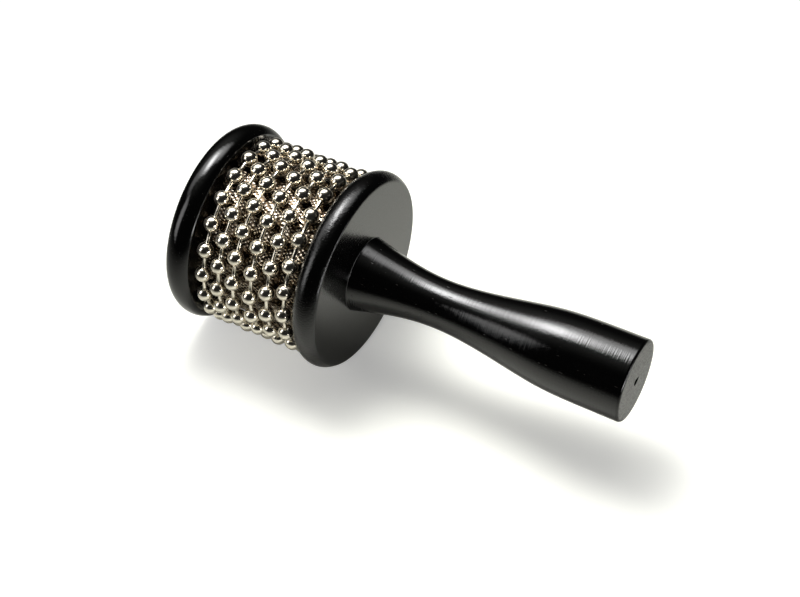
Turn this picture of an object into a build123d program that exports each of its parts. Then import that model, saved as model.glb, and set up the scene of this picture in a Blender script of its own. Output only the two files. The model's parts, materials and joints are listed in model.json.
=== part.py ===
"""Cabasa: loops of ball chain round a metal-skinned drum, between two discs on a turned handle.

Millimetres. The drum's axis lies along X, level, with the handle towards +X. The part lies on the
rims of its two discs: Z = 0 is the table, and the origin is at the middle of the bottom of its box.
"""
import os
from math import cos, radians, sin, sqrt, tan

from build123d import *

# Drum: a wooden core with a sheet-metal sleeve wrapped round it
drum_length = 44.3
core_diameter = 57.2
sleeve_thickness = 0.5
sleeve_gap = 0.1
seam_width = 0.8

# Ball chain: hollow beads on links of headed wire
bead_diameter = 6.0
bead_wall = 0.45
beads_per_loop = 21
wire_diameter = 1.24
wire_clearance = 0.12
head_lip = 0.32
head_play = 0.2

# Loops: each hangs a little low on the drum, turned a little about the vertical
bead_clearance = 0.3
loop_slack = 0.55
loop_tilt = 1.3
loop_room = 0.7
far_margin = 0.3
near_margin = 2.35
loop_drift = (0.0, -0.45, -1.0, -0.4, -0.35, 0.0)
loop_phase = (8.8, 2.0, 11.5, 5.9, 13.9, 2.2)

# Discs: flat faces and a crowned rim that stands clear of the beads
disc_thickness = 9.5
rim_guard = 1.4
rim_crown = 2.2
rim_edge_round = 0.5

# Handle: flared foot, waist, swell and flat butt
handle_length = 107.7
base_diameter = 28.6
flare_angle = 15.0
waist_diameter = 18.2
waist_from_disc = 31.0
swell_diameter = 28.3
swell_from_butt = 35.7
butt_diameter = 30.8
butt_taper = 0.5
butt_round = 1.0
centre_mark_diameter = 1.8
centre_mark_depth = 1.6
tenon_diameter = 16.0
tenon_end_gap = 0.5

# Tie bolt, its washer and the threaded insert in the handle
bolt_diameter = 6.0
bolt_hole_clearance = 0.25
bolt_head_diameter = 11.0
bolt_head_height = 3.3
bolt_head_round = 0.8
bolt_slot_width = 1.4
bolt_slot_depth = 1.6
bolt_tip_chamfer = 0.8
bolt_tip_gap = 1.0
washer_diameter = 14.0
washer_thickness = 1.2
head_sink = 1.0
recess_clearance = 1.0
insert_diameter = 9.0
insert_length = 16.0
insert_flange_diameter = 11.5
insert_flange_thickness = 1.2
thread_gap = 0.05
fit_gap = 0.05

# Tacks that hold the sleeve's two edges, a row on each side of the seam
tacks_per_row = 4
tack_from_seam = 3.2
tack_end_margin = 5.0
tack_head_diameter = 2.2
tack_head_thickness = 0.35
tack_shank_diameter = 1.0
tack_point = 1.5
tack_length = 7.0

# Radii that follow from the drum outwards
core_radius = core_diameter / 2
sleeve_radius = core_radius + sleeve_gap + sleeve_thickness
bead_radius = bead_diameter / 2
loop_radius = sleeve_radius + bead_clearance + bead_radius + loop_slack
disc_radius = loop_radius + loop_slack + bead_radius + rim_guard
rim_face_radius = disc_radius - rim_crown

# Stations along the axis, from the far disc's outer face to the butt
total_length = 2 * disc_thickness + drum_length + handle_length
far_face = -total_length / 2
drum_start = far_face + disc_thickness
drum_end = drum_start + drum_length
handle_foot = drum_end + disc_thickness
butt_face = handle_foot + handle_length
tenon_end = drum_end + tenon_end_gap
recess_depth = washer_thickness + bolt_head_height + head_sink
bolt_seat = far_face + recess_depth

# Planes and axis of the turned pieces
axis_height = disc_radius
drum_axis = Axis((0, 0, axis_height), (1, 0, 0))
profile_plane = Plane(origin=(0, 0, axis_height), x_dir=(1, 0, 0), z_dir=(0, -1, 0))


def cross_plane(station, facing=1):
    """Plane square to the axis at a station, facing the butt (1) or the free end (-1)."""
    return Plane(origin=(station, 0, axis_height), x_dir=(0, facing, 0), z_dir=(facing, 0, 0))


# Loop stations: as many loops as the drum has room for, spread over it
tilt_reach = loop_radius * sin(radians(loop_tilt))
first_loop = drum_start + far_margin + bead_radius + tilt_reach
last_loop = drum_end - near_margin - bead_radius - tilt_reach
loop_count = 1 + int((last_loop - first_loop) // (bead_diameter + loop_room))
loop_step = (last_loop - first_loop) / max(1, loop_count - 1)


def loop_plane(index):
    """Plane of one loop: its X points to the side, and its Z along the axis to the free end."""
    station = first_loop + index * loop_step + loop_drift[index % len(loop_drift)]
    turn = radians(loop_tilt)
    return Plane(
        origin=(station, 0, axis_height - loop_slack),
        x_dir=(sin(turn), -cos(turn), 0),
        z_dir=(-cos(turn), -sin(turn), 0),
    )


# Chain sizes: the links run along the chords of the loop, with a head inside each bead
half_pitch = 180 / beads_per_loop
bead_pitch = 2 * loop_radius * sin(radians(half_pitch))
wire_radius = wire_diameter / 2
hole_radius = wire_radius + wire_clearance
head_radius = wire_radius + head_lip
bead_inner_radius = bead_radius - bead_wall
hole_rim_depth = sqrt(bead_inner_radius**2 - hole_radius**2)
head_seat = sqrt(head_radius**2 - hole_radius**2)
head_offset = hole_rim_depth - head_seat - head_play
link_span = bead_pitch - 2 * head_offset

# Tack places on the sleeve, facing outwards, on both sides of the seam underneath
tack_angle = (seam_width / 2 + tack_from_seam) / sleeve_radius
tack_step = (drum_length - 2 * tack_end_margin) / max(1, tacks_per_row - 1)
tack_planes = [
    Plane(
        origin=(
            drum_start + tack_end_margin + row * tack_step,
            side * sleeve_radius * sin(tack_angle),
            axis_height - sleeve_radius * cos(tack_angle),
        ),
        x_dir=(1, 0, 0),
        z_dir=(0, side * sin(tack_angle), -cos(tack_angle)),
    )
    for side in (-1, 1)
    for row in range(tacks_per_row)
]
tack_shank_radius = tack_shank_diameter / 2
tack_hole_depth = tack_length + fit_gap


def disc_blank(station):
    """Solid disc from a station on, with flat faces, a crowned rim and softened edges."""
    with BuildPart() as blank:
        with BuildSketch(profile_plane):
            with BuildLine():
                rim = ThreePointArc(
                    (station, rim_face_radius),
                    (station + disc_thickness / 2, disc_radius),
                    (station + disc_thickness, rim_face_radius),
                )
                Polyline(rim @ 1, (station + disc_thickness, 0), (station, 0), rim @ 0)
            make_face()
        revolve(axis=drum_axis)
        fillet(blank.edges().filter_by(GeomType.CIRCLE), rim_edge_round)
    return blank.part


os.makedirs("parts", exist_ok=True)

# Far disc: recessed for the bolt's head and washer
far_blank = disc_blank(far_face)
with BuildPart() as far_disc:
    add(far_blank)
    with Locations(cross_plane(far_face, -1)):
        CounterBoreHole(
            radius=bolt_diameter / 2 + bolt_hole_clearance,
            counter_bore_radius=washer_diameter / 2 + recess_clearance,
            counter_bore_depth=recess_depth,
        )
far_disc.part.label = "far_disc"
export_step(far_disc.part, "parts/far_disc.step")

# Near disc: bored for the handle's tenon
near_blank = disc_blank(drum_end)
with BuildPart() as near_disc:
    add(near_blank)
    with Locations(cross_plane(handle_foot)):
        Hole(tenon_diameter / 2 + fit_gap)
near_disc.part.label = "near_disc"
export_step(near_disc.part, "parts/near_disc.step")

# Drum core: bored for the bolt, with a hole for each tack
with BuildPart() as drum_core:
    with BuildSketch(cross_plane(drum_start)):
        Circle(core_radius)
        Circle(bolt_diameter / 2 + bolt_hole_clearance, mode=Mode.SUBTRACT)
    extrude(amount=drum_length)
    with Locations(*tack_planes):
        Hole(tack_shank_radius + fit_gap, depth=tack_hole_depth)
drum_core.part.label = "drum_core"
export_step(drum_core.part, "parts/drum_core.step")

# Sleeve: the sheet wrapped round the core, its edges parted by the seam underneath
with BuildPart() as sleeve:
    with BuildSketch(cross_plane(drum_start)):
        Circle(sleeve_radius)
        Circle(core_radius + sleeve_gap, mode=Mode.SUBTRACT)
        with Locations((0, -sleeve_radius)):
            Rectangle(seam_width, 4 * sleeve_thickness, mode=Mode.SUBTRACT)
    extrude(amount=drum_length)
    with Locations(*tack_planes):
        Hole(tack_shank_radius + fit_gap, depth=tack_hole_depth)
sleeve.part.label = "sleeve"
export_step(sleeve.part, "parts/sleeve.step")

# Tacks: a flat head on the sleeve and a pointed shank in the core
with BuildPart() as tack:
    with BuildSketch(Plane.XZ):
        with BuildLine():
            Polyline(
                (0, tack_head_thickness),
                (tack_head_diameter / 2, tack_head_thickness),
                (tack_head_diameter / 2, 0),
                (tack_shank_radius, 0),
                (tack_shank_radius, tack_point - tack_length),
                (0, -tack_length),
                close=True,
            )
        make_face()
    revolve(axis=Axis.Z)
with BuildPart() as sleeve_tacks:
    with Locations(*tack_planes):
        add(tack.part)
sleeve_tacks.part.label = "sleeve_tacks"
export_step(sleeve_tacks.part, "parts/sleeve_tacks.step")

# Handle: turned in one piece with its tenon, bored for the insert
with BuildPart() as handle:
    with BuildSketch(profile_plane):
        with BuildLine():
            foot = Polyline(
                (butt_face, 0),
                (tenon_end, 0),
                (tenon_end, tenon_diameter / 2),
                (handle_foot, tenon_diameter / 2),
                (handle_foot, base_diameter / 2),
            )
            flank = Spline(
                foot @ 1,
                (handle_foot + waist_from_disc, waist_diameter / 2),
                (butt_face - swell_from_butt, swell_diameter / 2),
                (butt_face, butt_diameter / 2),
                tangents=((1, -tan(radians(flare_angle))), (1, tan(radians(butt_taper)))),
            )
            Line(flank @ 1, foot @ 0)
        make_face()
    revolve(axis=drum_axis)
    fillet(handle.edges().filter_by(GeomType.CIRCLE).sort_by(Axis.X)[-1], butt_round)
    with Locations(cross_plane(butt_face)):
        Hole(centre_mark_diameter / 2, depth=centre_mark_depth)
    with Locations(cross_plane(tenon_end, -1)):
        CounterBoreHole(
            radius=insert_diameter / 2 + fit_gap,
            counter_bore_radius=insert_flange_diameter / 2 + fit_gap,
            counter_bore_depth=insert_flange_thickness,
            depth=insert_length,
        )
handle.part.label = "handle"
export_step(handle.part, "parts/handle.step")

# Threaded insert: flanged, flush with the tenon's end
with BuildPart(cross_plane(tenon_end)) as handle_insert:
    Cylinder(insert_diameter / 2, insert_length, align=(Align.CENTER, Align.CENTER, Align.MIN))
    Cylinder(
        insert_flange_diameter / 2,
        insert_flange_thickness,
        align=(Align.CENTER, Align.CENTER, Align.MIN),
    )
    Hole(bolt_diameter / 2 + thread_gap)
handle_insert.part.label = "handle_insert"
export_step(handle_insert.part, "parts/handle_insert.step")

# Washer: on the floor of the far disc's recess
with BuildPart(cross_plane(bolt_seat, -1)) as bolt_washer:
    Cylinder(washer_diameter / 2, washer_thickness, align=(Align.CENTER, Align.CENTER, Align.MIN))
    Hole(bolt_diameter / 2 + bolt_hole_clearance)
bolt_washer.part.label = "bolt_washer"
export_step(bolt_washer.part, "parts/bolt_washer.step")

# Tie bolt: slotted round head on the washer, shank through the drum into the insert
bolt_length = tenon_end + insert_length - bolt_tip_gap - (bolt_seat - washer_thickness)
with BuildPart(cross_plane(bolt_seat - washer_thickness, -1)) as tie_bolt:
    Cylinder(bolt_diameter / 2, bolt_length, align=(Align.CENTER, Align.CENTER, Align.MAX))
    chamfer(tie_bolt.edges().filter_by(GeomType.CIRCLE).sort_by(Axis.X)[-1], bolt_tip_chamfer)
    Cylinder(
        bolt_head_diameter / 2,
        bolt_head_height,
        align=(Align.CENTER, Align.CENTER, Align.MIN),
    )
    fillet(tie_bolt.edges().filter_by(GeomType.CIRCLE).sort_by(Axis.X)[0], bolt_head_round)
    with Locations((0, 0, bolt_head_height)):
        Box(bolt_head_diameter, bolt_slot_width, 2 * bolt_slot_depth, mode=Mode.SUBTRACT)
tie_bolt.part.label = "tie_bolt"
export_step(tie_bolt.part, "parts/tie_bolt.step")

# One bead: a hollow ball with a hole towards each neighbour, its X pointing out of the loop
with BuildPart() as bead:
    Sphere(bead_radius)
    Sphere(bead_inner_radius, mode=Mode.SUBTRACT)
    for side in (-1, 1):
        towards = (-sin(radians(half_pitch)), side * cos(radians(half_pitch)), 0)
        with Locations(Plane(origin=(0, 0, 0), z_dir=towards)):
            Cylinder(
                hole_radius,
                bead_diameter,
                align=(Align.CENTER, Align.CENTER, Align.MIN),
                mode=Mode.SUBTRACT,
            )

# One link: a wire along Y with a round head at each end
with BuildPart() as link:
    Cylinder(wire_radius, link_span, rotation=(90, 0, 0))
    with Locations((0, link_span / 2, 0), (0, -link_span / 2, 0)):
        Sphere(head_radius)

# Chain loops: beads on the circle, links on the chords between them
for index in range(loop_count):
    phase = loop_phase[index % len(loop_phase)]

    with BuildPart(loop_plane(index)) as chain_beads:
        with PolarLocations(loop_radius, beads_per_loop, start_angle=phase):
            add(bead.part)
    chain_beads.part.label = f"chain_{index + 1}_beads"
    export_step(chain_beads.part, f"parts/chain_{index + 1}_beads.step")

    link_circle = loop_radius * cos(radians(half_pitch))
    with BuildPart(loop_plane(index)) as chain_links:
        with PolarLocations(link_circle, beads_per_loop, start_angle=phase + half_pitch):
            add(link.part)
    chain_links.part.label = f"chain_{index + 1}_links"
    export_step(chain_links.part, f"parts/chain_{index + 1}_links.step")
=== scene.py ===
import json
import math

import bmesh
import bpy
import numpy as np
from mathutils import Matrix, Vector


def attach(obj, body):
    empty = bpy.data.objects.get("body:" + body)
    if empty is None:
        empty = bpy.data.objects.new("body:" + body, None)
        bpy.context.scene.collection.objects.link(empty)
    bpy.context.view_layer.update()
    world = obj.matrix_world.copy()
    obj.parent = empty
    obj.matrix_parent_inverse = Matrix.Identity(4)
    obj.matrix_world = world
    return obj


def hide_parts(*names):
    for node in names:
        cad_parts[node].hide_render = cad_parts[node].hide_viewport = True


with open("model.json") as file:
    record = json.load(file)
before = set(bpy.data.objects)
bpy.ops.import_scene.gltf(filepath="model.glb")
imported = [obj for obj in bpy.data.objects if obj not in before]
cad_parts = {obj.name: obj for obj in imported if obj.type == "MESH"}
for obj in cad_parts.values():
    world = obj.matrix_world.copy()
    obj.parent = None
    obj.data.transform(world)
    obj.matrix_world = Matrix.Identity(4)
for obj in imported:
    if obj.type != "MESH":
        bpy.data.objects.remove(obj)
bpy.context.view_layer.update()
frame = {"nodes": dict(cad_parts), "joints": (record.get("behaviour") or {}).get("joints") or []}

mm = 0.001
fullTurn = 2 * math.pi

# Stations along the drum's axis in millimetres, from the free end to the butt
layout = {
    "axisHeight": 38.0,
    "farFace": -85.5,  # outer face of the far disc
    "drumStart": -76.0,
    "drumEnd": -31.7,
    "handleFoot": -22.2,  # outer face of the near disc
    "buttFace": 85.5,
}


# Mesh helpers

def gridCells(grid, loopRows=False, loopColumns=False):
    # The four corners of each cell of a grid, going round the cell
    if loopColumns:
        grid = np.concatenate([grid, grid[:, :1]], axis=1)
    if loopRows:
        grid = np.concatenate([grid, grid[:1]], axis=0)
    corners = [grid[:-1, :-1], grid[:-1, 1:], grid[1:, 1:], grid[1:, :-1]]
    return np.stack(corners, axis=2).reshape(-1, 4, *grid.shape[2:])


def putMesh(name, points, faces, runs=None, mergePoles=False, sharpOver=None):
    # points in millimetres; faces are lists of point numbers; runs is a UV pair for each corner
    mesh = bpy.data.meshes.new(name)
    mesh.from_pydata((points.reshape(-1, 3) * mm).tolist(), [], faces)
    mesh.polygons.foreach_set("use_smooth", np.ones(len(mesh.polygons), dtype=bool))
    if runs is not None:
        mesh.uv_layers.new(name="runs").data.foreach_set("uv", runs.astype(np.float32).ravel())
    if mergePoles:
        work = bmesh.new()
        work.from_mesh(mesh)
        bmesh.ops.remove_doubles(work, verts=work.verts, dist=1e-7)
        work.to_mesh(mesh)
        work.free()
    if sharpOver:
        mesh.set_sharp_from_angle(angle=math.radians(sharpOver))
    mesh.validate()
    mesh.update()
    piece = bpy.data.objects.new(name, mesh)
    bpy.context.scene.collection.objects.link(piece)
    return piece


def fitPiece(piece, body, cadNode, material):
    piece.data.materials.append(material)
    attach(piece, body)
    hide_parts(cadNode)


# Profiles are rows of (station, radius); each run leaves out its last point

def lineRun(start, end, spacing):
    count = max(1, round(math.dist(start, end) / spacing))
    share = np.linspace(0, 1, count, endpoint=False)[:, None]
    return np.array(start) * (1 - share) + np.array(end) * share


def arcRun(centre, radius, fromAngle, toAngle, count):
    angle = np.linspace(fromAngle, toAngle, count, endpoint=False)
    return np.stack([centre[0] + radius * np.cos(angle), centre[1] + radius * np.sin(angle)], axis=1)


def turnedPiece(name, profile, sides, ring=False, torn=0.0):
    # Surface of revolution: each profile point (x, r) goes round the drum's axis through angle a,
    # to (x, r sin a, axisHeight - r cos a). A ring profile closes on itself; others end at poles.
    # Its UV runs are millimetres round the widest circle and millimetres along the profile.
    # torn is, for each profile point, how far its circle strays from round: its radius is taken
    # 1 + torn (0.4 cos(3a + 1) - 0.6 cos 2a) times.
    stations, radii = profile.T
    angle = np.linspace(0, fullTurn, sides, endpoint=False)
    stray = 0.4 * np.cos(3 * angle + 1) - 0.6 * np.cos(2 * angle)
    radius = radii[:, None] * (1 + np.broadcast_to(torn, radii.shape)[:, None] * stray)
    points = np.stack([
        np.broadcast_to(stations[:, None], (len(stations), sides)),
        radius * np.sin(angle),
        layout["axisHeight"] - radius * np.cos(angle),
    ], axis=2)
    faces = gridCells(np.arange(points[..., 0].size).reshape(len(stations), sides), ring, True)
    closed = np.vstack([profile, profile[:1]]) if ring else profile
    along = np.concatenate([[0], np.cumsum(np.linalg.norm(np.diff(closed, axis=0), axis=1))])
    around = np.linspace(0, fullTurn * radii.max(), sides + 1)
    runs = gridCells(np.stack(np.meshgrid(around, along), axis=2))
    return putMesh(name, points, faces.tolist(), runs, mergePoles=not ring, sharpOver=35)


# Shader helpers

def setInputs(tree, made, inputs):
    # Each input is either another node's output or a plain value
    for key, value in inputs.items():
        if isinstance(value, bpy.types.NodeSocket):
            tree.links.new(value, made.inputs[key])
        else:
            made.inputs[key].default_value = value
    return made


def node(tree, kind, inputs=None, **settings):
    made = tree.nodes.new("ShaderNode" + kind)
    for key, value in settings.items():
        setattr(made, key, value)
    return setInputs(tree, made, inputs or {})


def combine(tree, operation, first, second=0.0):
    return node(tree, "Math", {0: first, 1: second}, operation=operation).outputs[0]


def ramp(tree, value, fromLow, fromHigh, toLow=0.0, toHigh=1.0):
    inputs = {"Value": value, "From Min": fromLow, "From Max": fromHigh, "To Min": toLow, "To Max": toHigh}
    return node(tree, "MapRange", inputs).outputs["Result"]


def stretched(tree, place, factors):
    return node(tree, "VectorMath", {0: place, 1: factors}, operation="MULTIPLY").outputs[0]


def softNoise(tree, place, scale, detail=2.0):
    return node(tree, "TexNoise", {"Vector": place, "Scale": scale, "Detail": detail}).outputs[0]


def blendColour(tree, share, first, second):
    inputs = {"Factor": share, 6: first, 7: second}
    return node(tree, "Mix", inputs, data_type="RGBA").outputs[2]


def newGroup(name, inputs, outputs):
    # An effect with named sockets: inputs and outputs are {name: socket kind}
    tree = bpy.data.node_groups.new(name, "ShaderNodeTree")
    for socket, kind in inputs.items():
        tree.interface.new_socket(socket, in_out="INPUT", socket_type="NodeSocket" + kind)
    for socket, kind in outputs.items():
        tree.interface.new_socket(socket, in_out="OUTPUT", socket_type="NodeSocket" + kind)
    return tree, tree.nodes.new("NodeGroupInput").outputs, tree.nodes.new("NodeGroupOutput").inputs


def useGroup(tree, group, inputs):
    made = tree.nodes.new("ShaderNodeGroup")
    made.node_tree = group
    return setInputs(tree, made, inputs).outputs


def newMaterial(name):
    material = bpy.data.materials.new(name)
    material.use_nodes = True
    tree = material.node_tree
    return material, tree, tree.nodes["Principled BSDF"].inputs


def placeInMillimetres(tree):
    spot = node(tree, "TexCoord").outputs["Object"]
    return node(tree, "VectorMath", {0: spot, "Scale": 1 / mm}, operation="SCALE").outputs[0]


def bumped(tree, height, depth, under=None):
    # Normal of a height from 0 to 1, where 1 stands depth millimetres proud
    inputs = {"Height": height, "Strength": 1.0, "Distance": depth * mm}
    if under is not None:
        inputs["Normal"] = under
    return node(tree, "Bump", inputs).outputs["Normal"]


# Shared effects

effects = {
    "stretchRate": 0.07,  # how often turning lines grow strong and weak, as a share of how often they come
    "stretchStrength": (0.6, 1.0),  # of the weakest and the strongest
    "chatterDraw": (1.0, 0.45, 0.0),  # how fast chatter changes round the rim and along the profile
    "poreEdge": (0.34, 0.16),  # where in its cell a pore begins and where it is full
    "patchRate": 0.09,  # patches in each millimetre that hold fewer or more pores
    "patchShare": (0.2, 2.0),  # how many times fewer and more
    "speckRate": 0.8,  # places for a speck in each millimetre
    "speckEdge": (0.1, 0.05),
    "speckShare": 0.05,  # share of those places that hold one
}


def makeTurningMarks():
    # Fine rings that the lathe leaves: noise along the profile, stronger in some stretches than others
    tree, given, out = newGroup("turningMarks", {"Along": "Float", "Pitch": "Float"}, {"Height": "Float"})
    step = combine(tree, "DIVIDE", given["Along"], given["Pitch"])
    fine = node(tree, "TexNoise", {"W": step, "Scale": 1.0, "Detail": 1.5}, noise_dimensions="1D")
    slow = combine(tree, "MULTIPLY", step, effects["stretchRate"])
    stretch = node(tree, "TexNoise", {"W": slow, "Scale": 1.0, "Detail": 1.0}, noise_dimensions="1D")
    strength = ramp(tree, stretch.outputs[0], 0.3, 0.65, *effects["stretchStrength"])
    centred = combine(tree, "SUBTRACT", fine.outputs[0], 0.5)
    tree.links.new(combine(tree, "MULTIPLY", centred, strength), out["Height"])
    return tree


def makeGrainChatter():
    # Short ridges across a turned rim, where the tool met the grain: noise drawn out along the profile
    tree, given, out = newGroup("grainChatter", {"Runs": "Vector", "Pitch": "Float"}, {"Height": "Float"})
    scale = combine(tree, "DIVIDE", 1.0, given["Pitch"])
    drawn = stretched(tree, given["Runs"], effects["chatterDraw"])
    inputs = {"Vector": drawn, "Scale": scale, "Detail": 2.0, "Roughness": 0.55}
    tree.links.new(node(tree, "TexNoise", inputs, noise_dimensions="2D").outputs[0], out["Height"])
    return tree


def makeWoodPores():
    # Open pores: cells drawn out along the grain, of which only some hold a pore
    sockets = {"Place": "Vector", "Stretch": "Vector", "Share": "Float"}
    tree, given, out = newGroup("woodPores", sockets, {"Pore": "Float"})
    drawn = stretched(tree, given["Place"], given["Stretch"])
    cells = node(tree, "TexVoronoi", {"Vector": drawn, "Scale": 1.0})
    core = ramp(tree, cells.outputs["Distance"], *effects["poreEdge"])
    draw = node(tree, "SeparateColor", {0: cells.outputs["Color"]}).outputs[0]
    patches = softNoise(tree, given["Place"], effects["patchRate"], 1.0)
    patches = ramp(tree, patches, 0.4, 0.7, *effects["patchShare"])
    limit = combine(tree, "MULTIPLY", given["Share"], patches)
    held = combine(tree, "LESS_THAN", draw, limit)
    tree.links.new(combine(tree, "MULTIPLY", core, held), out["Pore"])
    return tree


def makeHandling():
    # Slow smears from hands and small specks of dust
    tree, given, out = newGroup("handling", {"Place": "Vector", "Scale": "Float"},
                                {"Smear": "Float", "Speck": "Float"})
    smear = softNoise(tree, given["Place"], given["Scale"], 4.0)
    tree.links.new(ramp(tree, smear, 0.3, 0.7), out["Smear"])
    dots = node(tree, "TexVoronoi", {"Vector": given["Place"], "Scale": effects["speckRate"]})
    near = ramp(tree, dots.outputs["Distance"], *effects["speckEdge"])
    draw = node(tree, "SeparateColor", {0: dots.outputs["Color"]}).outputs[1]
    held = combine(tree, "LESS_THAN", draw, effects["speckShare"])
    tree.links.new(combine(tree, "MULTIPLY", near, held), out["Speck"])
    return tree


turningMarks = makeTurningMarks()
grainChatter = makeGrainChatter()
woodPores = makeWoodPores()
handling = makeHandling()

# Finishes

lacquer = {
    "black": (0.0005, 0.0005, 0.0005, 1),
    "poreBrown": (0.004, 0.003, 0.002, 1),
    "dust": (0.03, 0.03, 0.028, 1),
    "index": 1.52,
    "poreDepth": 0.015,
    "poreRoughness": 0.25,  # added in the pores
    "smearScale": 0.11,
    "skinScale": 1.4,  # lumps of the sprayed coat's orange peel in each millimetre
    "mottle": (0.75, 1.35),  # roughness of that coat's glossiest and dullest spots, as shares
    "endEdge": (0.05, 0.25),  # millimetres from a flat end over which its finish gives way to the flank's
    "footReach": (0.9, 0.3),  # millimetres from the foot where its bead of lacquer begins and is full
}

# For each piece: roughness of the cleanest places, of the most handled and of its flat ends, the
# stations of those ends, how many pores fit in a millimetre along X, Y and Z, the share of places that
# hold a pore on the flank and on the ends, then pitch and depth of the turning lines and of the chatter,
# the depth of the sprayed coat's orange peel and how many times deeper it lies in the foot's bead
lacquered = {
    "handle": {
        "roughness": (0.07, 0.13, 0.34),
        "ends": (layout["handleFoot"], layout["buttFace"]),
        "grain": (0.35, 1.3, 1.3),
        "pores": (0.08, 0.02),
        "turning": (0.5, 0.034),
        "chatter": (0.8, 0.018),
        "skin": 0.003,
        "footLumps": 12.0,
    },
    "nearDisc": {
        "roughness": (0.08, 0.13, 0.2),
        "ends": (layout["drumEnd"], layout["handleFoot"]),
        "grain": (2.6, 2.6, 0.42),
        "pores": (0.03, 0.02),
        "turning": (0.55, 0.008),
        "chatter": (0.5, 0.08),
        "skin": 0.016,
        "footLumps": 1.0,
    },
    "farDisc": {
        "roughness": (0.08, 0.14, 0.2),
        "ends": (layout["farFace"], layout["drumStart"]),
        "grain": (2.6, 0.42, 2.6),
        "pores": (0.03, 0.02),
        "turning": (0.55, 0.005),
        "chatter": (1.0, 0.02),
        "skin": 0.004,
        "footLumps": 1.0,
    },
}


def makeLacquer(name, finish):
    # Black gloss lacquer over turned wood, duller on its flat ends
    material, tree, shader = newMaterial(name + "Lacquer")
    place = placeInMillimetres(tree)
    station = node(tree, "SeparateXYZ", {0: place}).outputs[0]
    fromStart = combine(tree, "SUBTRACT", station, finish["ends"][0])
    toEnd = combine(tree, "SUBTRACT", finish["ends"][1], station)
    flank = ramp(tree, combine(tree, "MINIMUM", fromStart, toEnd), *lacquer["endEdge"])
    runs = node(tree, "UVMap", uv_map="runs").outputs[0]
    along = node(tree, "SeparateXYZ", {0: runs}).outputs[1]

    share = ramp(tree, flank, 0.0, 1.0, finish["pores"][1], finish["pores"][0])
    pore = useGroup(tree, woodPores, {"Place": place, "Stretch": finish["grain"], "Share": share})["Pore"]
    hands = useGroup(tree, handling, {"Place": place, "Scale": lacquer["smearScale"]})
    colour = blendColour(tree, pore, lacquer["black"], lacquer["poreBrown"])
    tree.links.new(blendColour(tree, hands["Speck"], colour, lacquer["dust"]), shader["Base Color"])
    clean, handled, endFace = finish["roughness"]
    gloss = ramp(tree, hands["Smear"], 0.0, 1.0, clean, handled)
    gloss = ramp(tree, flank, 0.0, 1.0, endFace, gloss)
    skin = softNoise(tree, place, lacquer["skinScale"])
    gloss = combine(tree, "MULTIPLY", gloss, ramp(tree, skin, 0.35, 0.65, *lacquer["mottle"]))
    gloss = combine(tree, "ADD", gloss, combine(tree, "MULTIPLY", pore, lacquer["poreRoughness"]))
    tree.links.new(gloss, shader["Roughness"])
    shader["IOR"].default_value = lacquer["index"]

    ridges = useGroup(tree, grainChatter, {"Runs": runs, "Pitch": finish["chatter"][0]})["Height"]
    rings = useGroup(tree, turningMarks, {"Along": along, "Pitch": finish["turning"][0]})["Height"]
    lumps = ramp(tree, fromStart, *lacquer["footReach"], 1.0, finish["footLumps"])
    normal = bumped(tree, combine(tree, "MULTIPLY", skin, lumps), finish["skin"])
    normal = bumped(tree, combine(tree, "MULTIPLY", ridges, flank), finish["chatter"][1], normal)
    normal = bumped(tree, rings, finish["turning"][1], normal)
    sunk = combine(tree, "SUBTRACT", 1.0, pore)
    tree.links.new(bumped(tree, sunk, lacquer["poreDepth"], normal), shader["Normal"])
    return material


handleLacquer, nearLacquer, farLacquer = [makeLacquer(name, finish) for name, finish in lacquered.items()]

nickel = {
    "colour": (0.91, 0.855, 0.74, 1),
    "dull": (0.83, 0.77, 0.65, 1),
    "roughness": (0.12, 0.18),
    "rimHaze": 0.22,  # roughness added where the plate is seen edge on, for a soft ring round each bead
    "rimFrom": (0.4, 0.8),  # how far from face on the haze begins and is full, where 1 is edge on
    "smearScale": 0.5,
    "tumbling": (2.2, 0.0015),  # marks in each millimetre, and their depth
}


def makeNickel():
    # Bright nickel plate, a little warm, with faint handling
    material, tree, shader = newMaterial("polishedNickel")
    place = placeInMillimetres(tree)
    hands = useGroup(tree, handling, {"Place": place, "Scale": nickel["smearScale"]})
    colour = blendColour(tree, hands["Smear"], nickel["colour"], nickel["dull"])
    tree.links.new(colour, shader["Base Color"])
    shader["Metallic"].default_value = 1.0
    edgeOn = node(tree, "LayerWeight", {"Blend": 0.5}).outputs["Facing"]
    haze = ramp(tree, edgeOn, *nickel["rimFrom"], 0.0, nickel["rimHaze"])
    dulled = ramp(tree, hands["Smear"], 0.0, 1.0, *nickel["roughness"])
    tree.links.new(combine(tree, "ADD", dulled, haze), shader["Roughness"])
    marks, depth = nickel["tumbling"]
    tree.links.new(bumped(tree, softNoise(tree, place, marks), depth), shader["Normal"])
    return material


polishedNickel = makeNickel()

sleeveSteel = {
    "crest": (0.88, 0.79, 0.655, 1),
    # hollow: painted shade in the hollows between the bosses; smears carry it further up as grime
    "hollow": (0.07, 0.05, 0.032, 1),
    "roughness": (0.05, 0.18),  # of bright crests and of the dark hollows
    "hollowShadeFade": (0.15, 0.6),  # share of a boss's height at which the dark hollow colour, painted shade with some grime, begins to go and is gone
    "smearReach": 0.25,  # how far up smears carry the dark hollow colour
    "smearScale": 0.35,
    "pits": (3.5, 0.004),  # pits in each millimetre, and their depth
}


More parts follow.
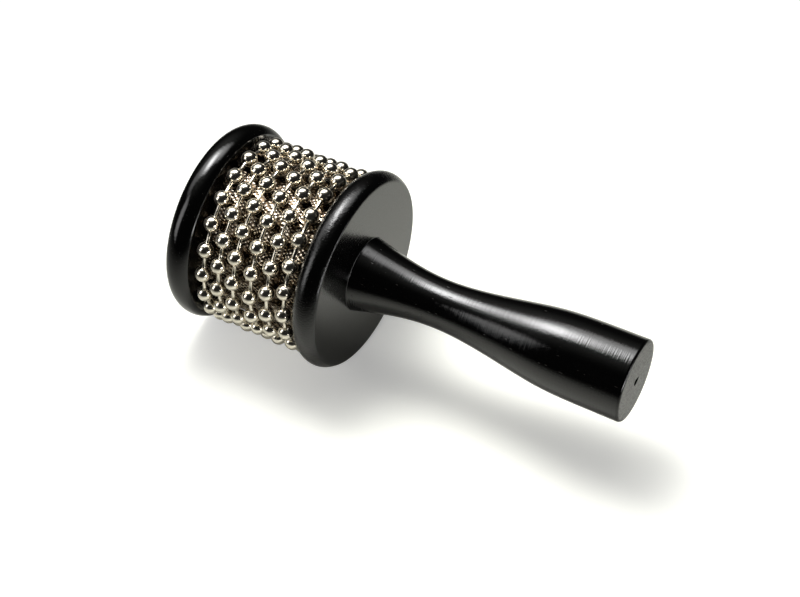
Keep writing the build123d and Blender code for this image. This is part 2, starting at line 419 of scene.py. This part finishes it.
def makeSleeveSteel():
    # Embossed sheet: bright on the bosses, darker and duller in the hollows, where the dark colour is
    # painted shade, carried further up by smears as grime
    material, tree, shader = newMaterial("embossedSteel")
    place = placeInMillimetres(tree)
    hands = useGroup(tree, handling, {"Place": place, "Scale": sleeveSteel["smearScale"]})
    boss = node(tree, "Attribute", attribute_name="boss").outputs["Fac"]
    # Share of crest colour: low in the hollows, which is painted shade, and higher up where smears carry
    # grime
    grimeAndShadeLift = combine(tree, "MULTIPLY", hands["Smear"], sleeveSteel["smearReach"])
    clean = ramp(tree, combine(tree, "SUBTRACT", boss, grimeAndShadeLift), *sleeveSteel["hollowShadeFade"])
    colour = blendColour(tree, clean, sleeveSteel["hollow"], sleeveSteel["crest"])
    tree.links.new(colour, shader["Base Color"])
    shader["Metallic"].default_value = 1.0
    low, high = sleeveSteel["roughness"]
    tree.links.new(ramp(tree, clean, 0.0, 1.0, high, low), shader["Roughness"])
    pits, depth = sleeveSteel["pits"]
    tree.links.new(bumped(tree, softNoise(tree, place, pits), depth), shader["Normal"])
    return material


embossedSteel = makeSleeveSteel()

plainMetals = {
    "plainSteel": {
        "colour": (0.56, 0.55, 0.53, 1),
        "worn": (0.40, 0.39, 0.37, 1),
        "roughness": (0.22, 0.42),
        "smearScale": 0.4,
        "toolLines": (0.18, 0.006),  # pitch and depth
    },
    "insertBrass": {
        "colour": (0.75, 0.52, 0.24, 1),
        "worn": (0.50, 0.33, 0.14, 1),
        "roughness": (0.25, 0.45),
        "smearScale": 0.4,
        "toolLines": (0.18, 0.006),
    },
}


def makePlainMetal(name, finish):
    # Turned or stamped hardware, with fine tool lines round the drum's axis
    material, tree, shader = newMaterial(name)
    place = placeInMillimetres(tree)
    hands = useGroup(tree, handling, {"Place": place, "Scale": finish["smearScale"]})
    colour = blendColour(tree, hands["Smear"], finish["colour"], finish["worn"])
    tree.links.new(colour, shader["Base Color"])
    shader["Metallic"].default_value = 1.0
    tree.links.new(ramp(tree, hands["Smear"], 0.0, 1.0, *finish["roughness"]), shader["Roughness"])
    centred = node(tree, "VectorMath", {0: place, 1: (0, 0, -layout["axisHeight"])}).outputs[0]
    across = stretched(tree, centred, (0, 1, 1))
    reach = node(tree, "VectorMath", {0: across}, operation="LENGTH").outputs["Value"]
    pitch, depth = finish["toolLines"]
    rings = useGroup(tree, turningMarks, {"Along": reach, "Pitch": pitch})["Height"]
    tree.links.new(bumped(tree, rings, depth), shader["Normal"])
    return material


plainSteel, insertBrass = [makePlainMetal(name, finish) for name, finish in plainMetals.items()]

coreWood = {
    "pale": (0.58, 0.42, 0.26, 1),
    "dark": (0.40, 0.26, 0.14, 1),
    "roughness": (0.55, 0.75),
    "ringPitch": 2.6,
    "ringWobble": 0.6,
    "waver": (0.05, 9.0),  # bends in each millimetre, and how far the rings stray with them
    "grain": (0.3, 2.4, 2.4),  # pores in a millimetre along X, Y and Z
    "pores": 0.2,  # share of places that hold a pore
    "poreDepth": 0.08,
}


def makeCoreWood():
    # Bare turned wood: growth rings round a pith beside the drum, wavering along it, with open pores
    material, tree, shader = newMaterial("bareWood")
    place = placeInMillimetres(tree)
    bends, stray = coreWood["waver"]
    waver = node(tree, "TexNoise", {"Vector": place, "Scale": bends, "Detail": 2.0}).outputs["Color"]
    moved = node(tree, "VectorMath", {0: waver, "Scale": stray}, operation="SCALE").outputs[0]
    bent = node(tree, "VectorMath", {0: place, 1: moved}).outputs[0]
    across = stretched(tree, bent, (0, 1, 1))
    waveTurn = 20  # radians that the wave texture goes through in each unit at a scale of 1
    scale = fullTurn / (waveTurn * coreWood["ringPitch"])
    inputs = {"Vector": across, "Scale": scale, "Distortion": coreWood["ringWobble"]}
    rings = node(tree, "TexWave", inputs, wave_type="RINGS", rings_direction="X").outputs["Fac"]
    inputs = {"Place": place, "Stretch": coreWood["grain"], "Share": coreWood["pores"]}
    pore = useGroup(tree, woodPores, inputs)["Pore"]
    grain = combine(tree, "MAXIMUM", ramp(tree, rings, 0.2, 0.95), pore)
    tree.links.new(blendColour(tree, grain, coreWood["pale"], coreWood["dark"]), shader["Base Color"])
    tree.links.new(ramp(tree, grain, 0.0, 1.0, *coreWood["roughness"]), shader["Roughness"])
    sunk = combine(tree, "SUBTRACT", 1.0, pore)
    tree.links.new(bumped(tree, sunk, coreWood["poreDepth"]), shader["Normal"])
    return material


bareWood = makeCoreWood()
print("finishes:", len(bpy.data.materials), "materials")

# Handle

handle = {
    "baseRadius": 14.3,
    "flare": 15.0,  # degrees
    "waist": (31.0, 9.1),  # distance from the disc, radius
    "swell": (35.7, 14.15),  # distance from the butt, radius
    "buttRadius": 15.4,
    "buttTaper": 0.5,
    "endPull": (1.0396, 1.5569),  # how far the curve carries on from the foot and from the butt
    "buttRound": 1.0,
    "footBead": 0.28,  # fillet of lacquer where the foot meets the disc
    "mark": (1.6, 4.0, 0.6),  # lathe centre: radius, depth, depth of its point
    "markLip": 0.12,
    "markTaper": 0.8,  # share of its radius that is left at the bottom
    "markTear": 0.3,  # share by which the torn edge of the mark strays from round
    "tenon": (8.0, 9.0),  # radius and length
    "insertHole": (4.55, 16.0),  # radius and depth, both from the tenon's end
    "flangeHole": (5.8, 1.2),
    "flankPoints": 260,
    "sides": 192,
}


def splineRun(knots, firstTangent, lastTangent, count):
    # Cubic through the knots, smooth in slope and bend: each stretch is the Hermite blend of its two
    # end points and tangents, over the straight distance between its knots
    gaps = np.linalg.norm(np.diff(knots, axis=0), axis=1)
    rise = np.diff(knots, axis=0) / gaps[:, None]
    inner = len(knots) - 2
    system = np.diag(2 / gaps[:-1] + 2 / gaps[1:])
    system += np.diag(1 / gaps[1:-1], 1) + np.diag(1 / gaps[1:-1], -1)
    known = 3 * (rise[:-1] / gaps[:-1, None] + rise[1:] / gaps[1:, None])
    known[0] -= firstTangent / gaps[0]
    known[inner - 1] -= lastTangent / gaps[-1]
    tangents = np.vstack([firstTangent, np.linalg.solve(system, known), lastTangent])
    reach = np.concatenate([[0], np.cumsum(gaps)])
    spot = np.linspace(0, reach[-1], count)
    first = np.clip(np.searchsorted(reach, spot, side="right") - 1, 0, inner)
    share = ((spot - reach[first]) / gaps[first])[:, None]
    left = 1 - share
    span = gaps[first][:, None]
    return (knots[first] * (1 + 2 * share) * left ** 2
            + tangents[first] * span * share * left ** 2
            + knots[first + 1] * share ** 2 * (3 - 2 * share)
            - tangents[first + 1] * span * share ** 2 * left)


def handleProfile():
    # From the bottom of the insert's hole, over the tenon and foot, along the flank to the lathe mark
    foot, butt = layout["handleFoot"], layout["buttFace"]
    slopes = (-math.tan(math.radians(handle["flare"])), math.tan(math.radians(handle["buttTaper"])))
    pulls = [np.array([1, slope]) / math.hypot(1, slope) * pull
             for slope, pull in zip(slopes, handle["endPull"])]
    knots = np.array([
        (foot, handle["baseRadius"]),
        (foot + handle["waist"][0], handle["waist"][1]),
        (butt - handle["swell"][0], handle["swell"][1]),
        (butt, handle["buttRadius"]),
    ])
    flank = splineRun(knots, *pulls, handle["flankPoints"])
    bead, rounding = handle["footBead"], handle["buttRound"]
    beadReach, beadRise, beadTurn = bead * 1.2, bead * 0.78, math.pi * 0.42
    flank = flank[(flank[:, 0] > foot + beadReach) & (flank[:, 0] < butt - rounding)]
    tenonRadius, tenonLength = handle["tenon"]
    tenonEnd = foot - tenonLength
    hole, flange = handle["insertHole"], handle["flangeHole"]
    markRadius, markDepth, markPoint = handle["mark"]
    markBottom = markRadius * handle["markTaper"]
    holeEnd = tenonEnd + hole[1]
    roundRadius = flank[-1, 1] - rounding
    lip = handle["markLip"]
    return np.concatenate([
        lineRun((holeEnd, 0), (holeEnd, hole[0]), 1.5),
        lineRun((holeEnd, hole[0]), (tenonEnd + flange[1], hole[0]), 4),
        lineRun((tenonEnd + flange[1], hole[0]), (tenonEnd + flange[1], flange[0]), 1.5),
        lineRun((tenonEnd + flange[1], flange[0]), (tenonEnd, flange[0]), 1.5),
        lineRun((tenonEnd, flange[0]), (tenonEnd, tenonRadius), 1.5),
        lineRun((tenonEnd, tenonRadius), (foot, tenonRadius), 3),
        lineRun((foot, tenonRadius), (foot, handle["baseRadius"] + bead), 1.5),
        arcRun((foot + bead, handle["baseRadius"] + beadRise), bead, math.pi, math.pi + beadTurn, 5),
        flank,
        arcRun((butt - rounding, roundRadius), rounding, math.pi / 2, 0, 9),
        lineRun((butt, roundRadius), (butt, markRadius + lip), 0.7),
        lineRun((butt, markRadius + lip), (butt - lip, markRadius), lip),
        lineRun((butt - lip, markRadius), (butt - markDepth, markBottom), 0.4),
        [(butt - markDepth, markBottom), (butt - markDepth - markPoint, 0)],
    ])


def makeHandle():
    profile = handleProfile()
    markEdge = handle["mark"][0] + 2 * handle["markLip"]
    inMark = (profile[:, 0] > layout["handleFoot"]) & (profile[:, 1] < markEdge)
    return turnedPiece("handleTurned", profile, handle["sides"], torn=inMark * handle["markTear"])


handleTurned = makeHandle()
fitPiece(handleTurned, "drum", "handle", handleLacquer)
print("handle:", len(handleTurned.data.polygons), "faces")

# Discs

disc = {
    "radius": 38.0,
    "thickness": 9.5,
    "crown": 2.2,  # how far the rim's middle stands out beyond its edges
    "outerRound": 1.2,  # fillets at the rim's outer and inner edges
    "innerRound": 0.5,
    "nearBore": 8.05,
    "farBore": 3.25,
    "recess": (8.0, 5.5),  # radius and depth, for the bolt's head and washer
    "recessRound": 0.35,
    "sides": 256,
}


def rimRun(start, startRound, endRound):
    # Face edge, crowned rim and face edge: a wide arc between two small fillets that touch it
    half, crown = disc["thickness"] / 2, disc["crown"]
    rimRadius = (half * half + crown * crown) / (2 * crown)
    middle, depth = start + half, disc["radius"] - rimRadius
    lifts = [math.sqrt((rimRadius - r) ** 2 - (half - r) ** 2) for r in (startRound, endRound)]
    leans = [math.atan2(lift, half - r) for lift, r in zip(lifts, (startRound, endRound))]
    return np.concatenate([
        arcRun((start + startRound, depth + lifts[0]), startRound, math.pi, math.pi - leans[0], 6),
        arcRun((middle, depth), rimRadius, math.pi - leans[0], leans[1], 44),
        arcRun((middle + half - endRound, depth + lifts[1]), endRound, leans[1], 0, 6),
        [(start + disc["thickness"], depth + lifts[1])],
    ])


def nearDiscProfile():
    start, end = layout["drumEnd"], layout["handleFoot"]
    rim = rimRun(start, disc["innerRound"], disc["outerRound"])
    bore = disc["nearBore"]
    return np.concatenate([
        lineRun((start, bore), tuple(rim[0]), 0.7),
        rim[:-1],
        lineRun(tuple(rim[-1]), (end, bore), 0.7),
        lineRun((end, bore), (start, bore), 3),
    ])


def farDiscProfile():
    start, end = layout["farFace"], layout["drumStart"]
    rim = rimRun(start, disc["outerRound"], disc["innerRound"])
    bore, recess, rounding = disc["farBore"], disc["recess"], disc["recessRound"]
    return np.concatenate([
        lineRun((start + recess[1], bore), (start + recess[1], recess[0]), 0.8),
        lineRun((start + recess[1], recess[0]), (start + rounding, recess[0]), 0.8),
        arcRun((start + rounding, recess[0] + rounding), rounding, -math.pi / 2, -math.pi, 5),
        lineRun((start, recess[0] + rounding), tuple(rim[0]), 0.7),
        rim[:-1],
        lineRun(tuple(rim[-1]), (end, bore), 0.7),
        lineRun((end, bore), (start + recess[1], bore), 2),
    ])


nearTurned = turnedPiece("nearDiscTurned", nearDiscProfile(), disc["sides"], ring=True)
fitPiece(nearTurned, "drum", "near_disc", nearLacquer)
farTurned = turnedPiece("farDiscTurned", farDiscProfile(), disc["sides"], ring=True)
fitPiece(farTurned, "drum", "far_disc", farLacquer)
print("discs:", len(nearTurned.data.polygons) + len(farTurned.data.polygons), "faces")

# Sleeve

sleeve = {
    "radius": 29.2,
    "thickness": 0.5,
    "seam": 0.8,
    "bossesRound": 116,
    "bossRows": 32,
    "bossDepth": 0.27,
    "parting": 1.3,  # power that narrows the bosses and widens the ground between them
    "levels": (0.7, 0.3),  # height of a middling boss and how far others stray from it, as shares
    "stray": 2.2,  # how far bosses wander from their rows, in radians of their pitch
    "drawSpan": 2,  # bosses from one seeded draw to the next
    "seeds": (3, 4, 5),  # of the wander round, the wander along and the height
    "stepsRound": 6,  # points for each boss
    "stepsAlong": 4,
}


def smoothDraw(shape, knots, seed):
    # Seeded values from -1 to 1 at coarse knots, blended between neighbours by half cosines
    draw = np.random.default_rng(seed).uniform(-1, 1, (knots[0] + 1, knots[1] + 1))
    for axis in (0, 1):
        spot = np.linspace(0, knots[axis], shape[axis])
        low = np.minimum(spot.astype(int), knots[axis] - 1)
        share = np.expand_dims(0.5 - 0.5 * np.cos(math.pi * (spot - low)), 1 - axis)
        draw = np.take(draw, low, axis) * (1 - share) + np.take(draw, low + 1, axis) * share
    return draw


def makeSleeve():
    # Sheet wrapped from one edge of the seam to the other. Round bosses stand in rows, each row half a
    # step on from the last: height = half of (1 + cos(turned) cos(along)), raised to a power to part them,
    # where smooth seeded draws push both angles about and make some bosses lower than others.
    # The plain inner wall has one point for each boss, and strips of long faces close the four edges.
    fineRound = sleeve["bossesRound"] * sleeve["stepsRound"]
    fineAlong = sleeve["bossRows"] * sleeve["stepsAlong"]
    gap = sleeve["seam"] / 2 / sleeve["radius"]
    angle = np.linspace(gap, fullTurn - gap, fineRound + 1)[:, None]
    share = np.linspace(0, 1, fineAlong + 1)[None, :]
    station = layout["drumStart"] + share * (layout["drumEnd"] - layout["drumStart"])
    knots = (sleeve["bossesRound"] // sleeve["drawSpan"], sleeve["bossRows"] // sleeve["drawSpan"])
    shape = (fineRound + 1, fineAlong + 1)
    pushRound, pushAlong, lower = [smoothDraw(shape, knots, seed) for seed in sleeve["seeds"]]
    turned = angle * sleeve["bossesRound"] + pushRound * sleeve["stray"]
    along = share * math.pi * sleeve["bossRows"] + pushAlong * sleeve["stray"]
    boss = (0.5 + 0.5 * np.cos(turned) * np.cos(along)) ** sleeve["parting"]
    boss = boss * (sleeve["levels"][0] + sleeve["levels"][1] * lower)
    radius = sleeve["radius"] - sleeve["bossDepth"] * (1 - boss)

    def wrapped(station, radius, angle):
        side = radius * np.sin(angle)
        height = layout["axisHeight"] - radius * np.cos(angle)
        return np.stack(np.broadcast_arrays(station, side, height), axis=2)

    outer = wrapped(station, radius, angle)
    innerRadius = np.full((1, 1), sleeve["radius"] - sleeve["thickness"])
    inner = wrapped(station[:, ::sleeve["stepsAlong"]], innerRadius, angle[::sleeve["stepsRound"]])
    outerIds = np.arange(outer[..., 0].size).reshape(outer.shape[:2])
    innerIds = outer[..., 0].size + np.arange(inner[..., 0].size).reshape(inner.shape[:2])

    def edgeStrip(fine, coarse, step):
        # Each long face has a run of fine points on one side and two coarse points on the other
        runs = fine[np.arange(0, len(fine) - 1, step)[:, None] + np.arange(step + 1)]
        return np.hstack([runs, coarse[1:, None], coarse[:-1, None]]).tolist()

    faces = gridCells(outerIds.T).tolist() + gridCells(innerIds).tolist()
    faces += edgeStrip(outerIds[0], innerIds[0], sleeve["stepsAlong"])
    faces += edgeStrip(outerIds[-1][::-1], innerIds[-1][::-1], sleeve["stepsAlong"])
    faces += edgeStrip(outerIds[:, 0][::-1], innerIds[:, 0][::-1], sleeve["stepsRound"])
    faces += edgeStrip(outerIds[:, -1], innerIds[:, -1], sleeve["stepsRound"])
    points = np.concatenate([outer.reshape(-1, 3), inner.reshape(-1, 3)])
    piece = putMesh("sleeveEmbossed", points, faces, sharpOver=70)
    heights = np.concatenate([boss.ravel(), np.zeros(inner[..., 0].size)])
    marks = piece.data.attributes.new("boss", "FLOAT", "POINT")
    marks.data.foreach_set("value", heights.astype(np.float32))
    return piece


sleeveEmbossed = makeSleeve()
fitPiece(sleeveEmbossed, "drum", "sleeve", embossedSteel)
print("sleeve:", len(sleeveEmbossed.data.polygons), "faces")

# Chains

chain = {
    "beadsPerLoop": 21,
    "loopRadius": 33.05,
    "phases": (8.8, 2.0, 11.5, 5.9, 13.9, 2.2),  # degrees from the -Y side upwards, for each loop
    "beadRadius": 3.0,
    "beadWall": 0.45,
    "holeRadius": 0.74,
    "lip": 0.16,  # rounding of the hole's edge
    "beadSides": 26,
    "beadRows": 15,
    "hollowRows": 6,
    "lipRows": 4,
    "wireRadius": 0.71,
    "headRadius": 0.94,
    "linkSpan": 6.53,  # between the middles of a link's two heads
    "linkSides": 12,
    "headRows": 6,
}
halfPitch = math.pi / chain["beadsPerLoop"]


def loopFrames(joint, phase, radius):
    # Places round one loop: middle, outward, forward and sideways directions at each, from the joint's
    # own axis. Outward = cos(a) side + sin(a) up, and forward is a quarter turn on from it.
    axis = np.array(joint["axis"], float)
    middle = np.array(joint["pos_m"], float) / mm
    up = np.array([0, 0, 1.0])
    side = np.cross(axis, up)
    angle = phase + np.arange(chain["beadsPerLoop"])[:, None] * 2 * halfPitch
    outward = np.cos(angle) * side + np.sin(angle) * up
    forward = np.cos(angle) * up - np.sin(angle) * side
    sideways = np.broadcast_to(np.cross(outward, forward), outward.shape)
    return middle + radius * outward, outward, forward, sideways


def carried(local, frames):
    # Local grids (row, column, outward forward sideways) set at every frame of a loop
    spots, outward, forward, sideways = frames
    basis = np.stack([outward, forward, sideways], axis=1)
    return spots[:, None, None] + np.einsum("rci,kij->krcj", local, basis)


def sweptAbout(profile, sides):
    # Points (distance forward, radius) turned about the forward axis
    turn = np.linspace(0, fullTurn, sides, endpoint=False)
    forward = np.broadcast_to(profile[:, :1], (len(profile), sides))
    return np.stack([profile[:, 1:] * np.cos(turn), forward, profile[:, 1:] * np.sin(turn)], axis=2)


def beadForm():
    # Hollow ball: outer and inner spheres joined by rounded lips at two holes. Every ring is then swung
    # about the ball's middle, so that the holes face the neighbours and not straight on.
    outer, hole, lip = chain["beadRadius"], chain["holeRadius"], chain["lip"]
    inner = outer - chain["beadWall"]
    lipReach = math.sqrt((outer - lip) ** 2 - (hole + lip) ** 2)
    openAngle = math.atan2(hole + lip, lipReach)
    polar = np.linspace(openAngle, math.pi - openAngle, chain["beadRows"])
    ball = np.stack([outer * np.cos(polar), outer * np.sin(polar)], axis=1)
    innerOpen = math.asin(hole / inner)
    hollow = np.linspace(math.pi - innerOpen, innerOpen, chain["hollowRows"])
    within = np.stack([inner * np.cos(hollow), inner * np.sin(hollow)], axis=1)
    arc = np.linspace(math.pi / 2, openAngle, chain["lipRows"], endpoint=False)
    front = np.stack([lipReach + lip * np.cos(arc), hole + lip - lip * np.sin(arc)], axis=1)
    back = np.stack([-front[::-1, 0], front[::-1, 1]], axis=1)
    profile = np.concatenate([front, ball, back, within])
    form = sweptAbout(profile, chain["beadSides"])
    swing = -halfPitch * np.cos(np.arctan2(profile[:, 1], profile[:, 0]))[:, None]
    across, ahead, side = form[..., 0], form[..., 1], form[..., 2]
    return np.stack([across * np.cos(swing) + ahead * np.sin(swing),
                     ahead * np.cos(swing) - across * np.sin(swing), side], axis=2)


def linkForm():
    # Headed wire: a round head at each end of a plain shank
    head, wire, half = chain["headRadius"], chain["wireRadius"], chain["linkSpan"] / 2
    neck = math.asin(wire / head)
    polar = np.linspace(0, math.pi - neck, chain["headRows"])
    front = np.stack([half + head * np.cos(polar), head * np.sin(polar)], axis=1)
    front[0, 1] = 0
    back = np.stack([-front[::-1, 0], front[::-1, 1]], axis=1)
    return sweptAbout(np.concatenate([front, back]), chain["linkSides"])


def makeChain(number, joint, phase):
    # Beads at every place round the loop, and links half a pitch on, on the straight lines between them
    linkRadius = chain["loopRadius"] * math.cos(halfPitch)
    forms = {
        "Beads": (beadForm(), loopFrames(joint, phase, chain["loopRadius"]), True),
        "Links": (linkForm(), loopFrames(joint, phase + halfPitch, linkRadius), False),
    }
    for kind, (form, spots, ring) in forms.items():
        points = carried(form, spots)
        cells = gridCells(np.arange(form[..., 0].size).reshape(form.shape[:2]), ring, True)
        steps = form[..., 0].size * np.arange(len(points))[:, None, None]
        faces = (cells[:, ::-1] + steps).reshape(-1, 4).tolist()
        piece = putMesh(f"chain{number}{kind}", points, faces, mergePoles=not ring)
        cadNode = f"chain_{number}_{kind.lower()}"
        fitPiece(piece, joint["child"], cadNode, polishedNickel)


for number, joint in enumerate(frame["joints"], 1):
    makeChain(number, joint, math.radians(chain["phases"][number - 1]))

# CAD pieces that keep their own shape

keptPieces = {
    "drum_core": bareWood,
    "sleeve_tacks": plainSteel,
    "tie_bolt": plainSteel,
    "bolt_washer": plainSteel,
    "handle_insert": insertBrass,
}
for name, material in keptPieces.items():
    mesh = frame["nodes"][name].data
    mesh.materials.clear()
    mesh.materials.append(material)
print("kept:", len(keptPieces), "CAD pieces dressed")

# Floor, light and camera

floor = {
    "size": 8.0,  # metres
    "drop": 0.00005,
    "colour": (0.92, 0.92, 0.84, 1),
    "poolMiddle": (0.02, 0.02, 0.0),
    "paintedPool": 0.15,  # metres from its middle at which the painted pool of light has faded by half
    "white": (1.0, 1.0, 1.0, 1),  # the background as the camera sees it
    "poolDepth": 0.7,  # share of that white which the painted pool gives up, so that the shadow shows
    "mirrored": 0.015,  # share of that white in polished and clear pieces
}


def seenWhite(tree):
    # 1 for the camera, a small share for mirrors and clear pieces, and none for the light on the object
    path = node(tree, "LightPath").outputs
    mirrored = combine(tree, "MAXIMUM", path["Is Glossy Ray"], path["Is Transmission Ray"])
    mirrored = combine(tree, "MULTIPLY", mirrored, floor["mirrored"])
    return combine(tree, "MAXIMUM", path["Is Camera Ray"], mirrored)


def makeFloor():
    # A sheet whose colour is a painted pool of light, pale near the object and fading to black away from
    # it: pool = 1 / (1 + (distance / half distance) cubed)
    half = floor["size"] / 2
    corners = np.array([(-half, -half), (half, -half), (half, half), (-half, half)])
    points = np.hstack([corners, np.full((4, 1), -floor["drop"])]) / mm
    piece = putMesh("floor", points, [[0, 1, 2, 3]])
    material, tree, shader = newMaterial("paleFloor")
    spot = node(tree, "TexCoord").outputs["Object"]
    inputs = {0: spot, 1: floor["poolMiddle"]}
    reach = node(tree, "VectorMath", inputs, operation="DISTANCE").outputs["Value"]
    reach = combine(tree, "POWER", combine(tree, "DIVIDE", reach, floor["paintedPool"]), 3.0)
    paintedPool = combine(tree, "DIVIDE", 1.0, combine(tree, "ADD", reach, 1.0))
    # Painted pool of light: the floor's colour goes from pale near the object to black away from it
    tree.links.new(blendColour(tree, paintedPool, (0, 0, 0, 1), floor["colour"]), shader["Base Color"])
    shader["Roughness"].default_value = 1.0
    shader["Specular IOR Level"].default_value = 0.0
    shader["Emission Color"].default_value = floor["white"]
    glow = ramp(tree, paintedPool, 0.0, 1.0, 1.0, 1 - floor["poolDepth"])
    tree.links.new(combine(tree, "MULTIPLY", glow, seenWhite(tree)), shader["Emission Strength"])
    piece.data.materials.append(material)


makeFloor()

surround = {
    "dark": (0.0, 0.0, 0.0, 1),
    "glow": (0.35, 0.355, 0.335, 1),  # light that the softbox throws on the ceiling about it
    "middle": (-0.38, 0.27, 0.885),
    "reach": (0.45, 0.95),  # cosines of the angles from the middle at which it begins and is full
}


def makeSurround():
    # A dark studio with a dim glow about the softbox, white behind the object: the glow is the cube of
    # how far the cosine has gone from its beginning to its full height
    world = bpy.data.worlds.new("studio")
    world.use_nodes = True
    tree = world.node_tree
    way = node(tree, "TexCoord").outputs["Generated"]
    inputs = {0: way, 1: surround["middle"]}
    near = node(tree, "VectorMath", inputs, operation="DOT_PRODUCT").outputs["Value"]
    share = combine(tree, "POWER", ramp(tree, near, *surround["reach"]), 3.0)
    colour = blendColour(tree, share, surround["dark"], surround["glow"])
    colour = blendColour(tree, seenWhite(tree), colour, floor["white"])
    tree.links.new(colour, tree.nodes["Background"].inputs["Color"])
    bpy.context.scene.world = world


makeSurround()

lamps = {
    "softbox": {
        "towards": (-0.342, 0.292, 0.893),
        "along": (0.872, 0.49, 0),
        "distance": 0.8,
        "size": (1.05, 0.55),
        "power": 9.6,
        "fall": 1.0,
    },
    "softboxHeart": {
        "towards": (-0.394, 0.158, 0.905),
        "along": (1, 0, 0),
        "distance": 0.8,
        "size": (0.47, 0.535),
        "power": 14.2,
        "fall": 2.0,
    },
    "softboxWing": {
        "towards": (-0.777, -0.093, 0.622),
        "along": (0.872, 0.49, 0),
        "distance": 0.85,
        "size": (0.46, 0.39),
        "power": 0.85,
        "fall": 0.5,
    },
    "leftCard": {
        "towards": (-0.712, -0.602, 0.362),
        "along": (0.67, -0.74, 0),
        "distance": 0.925,
        "size": (0.36, 0.69),
        "power": 2.2,
        "fall": 0.3,
    },
    "rightCard": {
        "towards": (0.985, -0.165, 0.05),
        "along": (0.165, 0.985, 0),
        "distance": 0.5,
        "size": (0.58, 0.08),
        "power": 2.2,
        "fall": 0.3,
    },
}
lampAim = Vector((0.045, 0, 0.045))


def makeLamp(name, lamp):
    # A rectangle that faces the drum, with its first side running along the given way. It is brightest in
    # the middle: over its sides u and v, from 0 to 1, its strength is 4u(1 - u) times 4v(1 - v), to the
    # power fall
    light = bpy.data.lights.new(name, "AREA")
    light.shape = "RECTANGLE"
    light.size, light.size_y = lamp["size"]
    light.energy = lamp["power"]
    light.use_nodes = True
    tree = light.node_tree
    spot = node(tree, "NewGeometry").outputs["Parametric"]
    rest = node(tree, "VectorMath", {0: (1, 1, 1), 1: spot}, operation="SUBTRACT").outputs[0]
    humps = node(tree, "SeparateXYZ", {0: stretched(tree, spot, rest)}).outputs
    hump = combine(tree, "MULTIPLY", combine(tree, "MULTIPLY", humps[0], humps[1]), 16.0)
    strength = combine(tree, "POWER", hump, lamp["fall"])
    tree.links.new(strength, tree.nodes["Emission"].inputs["Strength"])
    holder = bpy.data.objects.new(name, light)
    bpy.context.scene.collection.objects.link(holder)
    towards = Vector(lamp["towards"]).normalized()
    across = towards.cross(Vector(lamp["along"])).normalized()
    turn = Matrix((across.cross(towards), across, towards)).transposed()
    holder.location = lampAim + towards * lamp["distance"]
    holder.rotation_euler = turn.to_euler()


for name, lamp in lamps.items():
    makeLamp(name, lamp)
print("light:", len(lamps), "lamps")

camera = {
    "location": (0.209079, -0.386093, 0.480717),
    "aim": (-0.007804, 0.0, 0.032376),
    "lens": 77.627,
    "sensor": 36.0,
}


def makeCamera():
    lens = bpy.data.cameras.new("camera")
    lens.lens, lens.sensor_width = camera["lens"], camera["sensor"]
    holder = bpy.data.objects.new("camera", lens)
    bpy.context.scene.collection.objects.link(holder)
    holder.location = camera["location"]
    sight = Vector(camera["aim"]) - Vector(camera["location"])
    holder.rotation_euler = sight.to_track_quat("-Z", "Y").to_euler()
    bpy.context.scene.camera = holder


makeCamera()
bpy.context.scene.view_settings.view_transform = "Standard"
print("camera set")
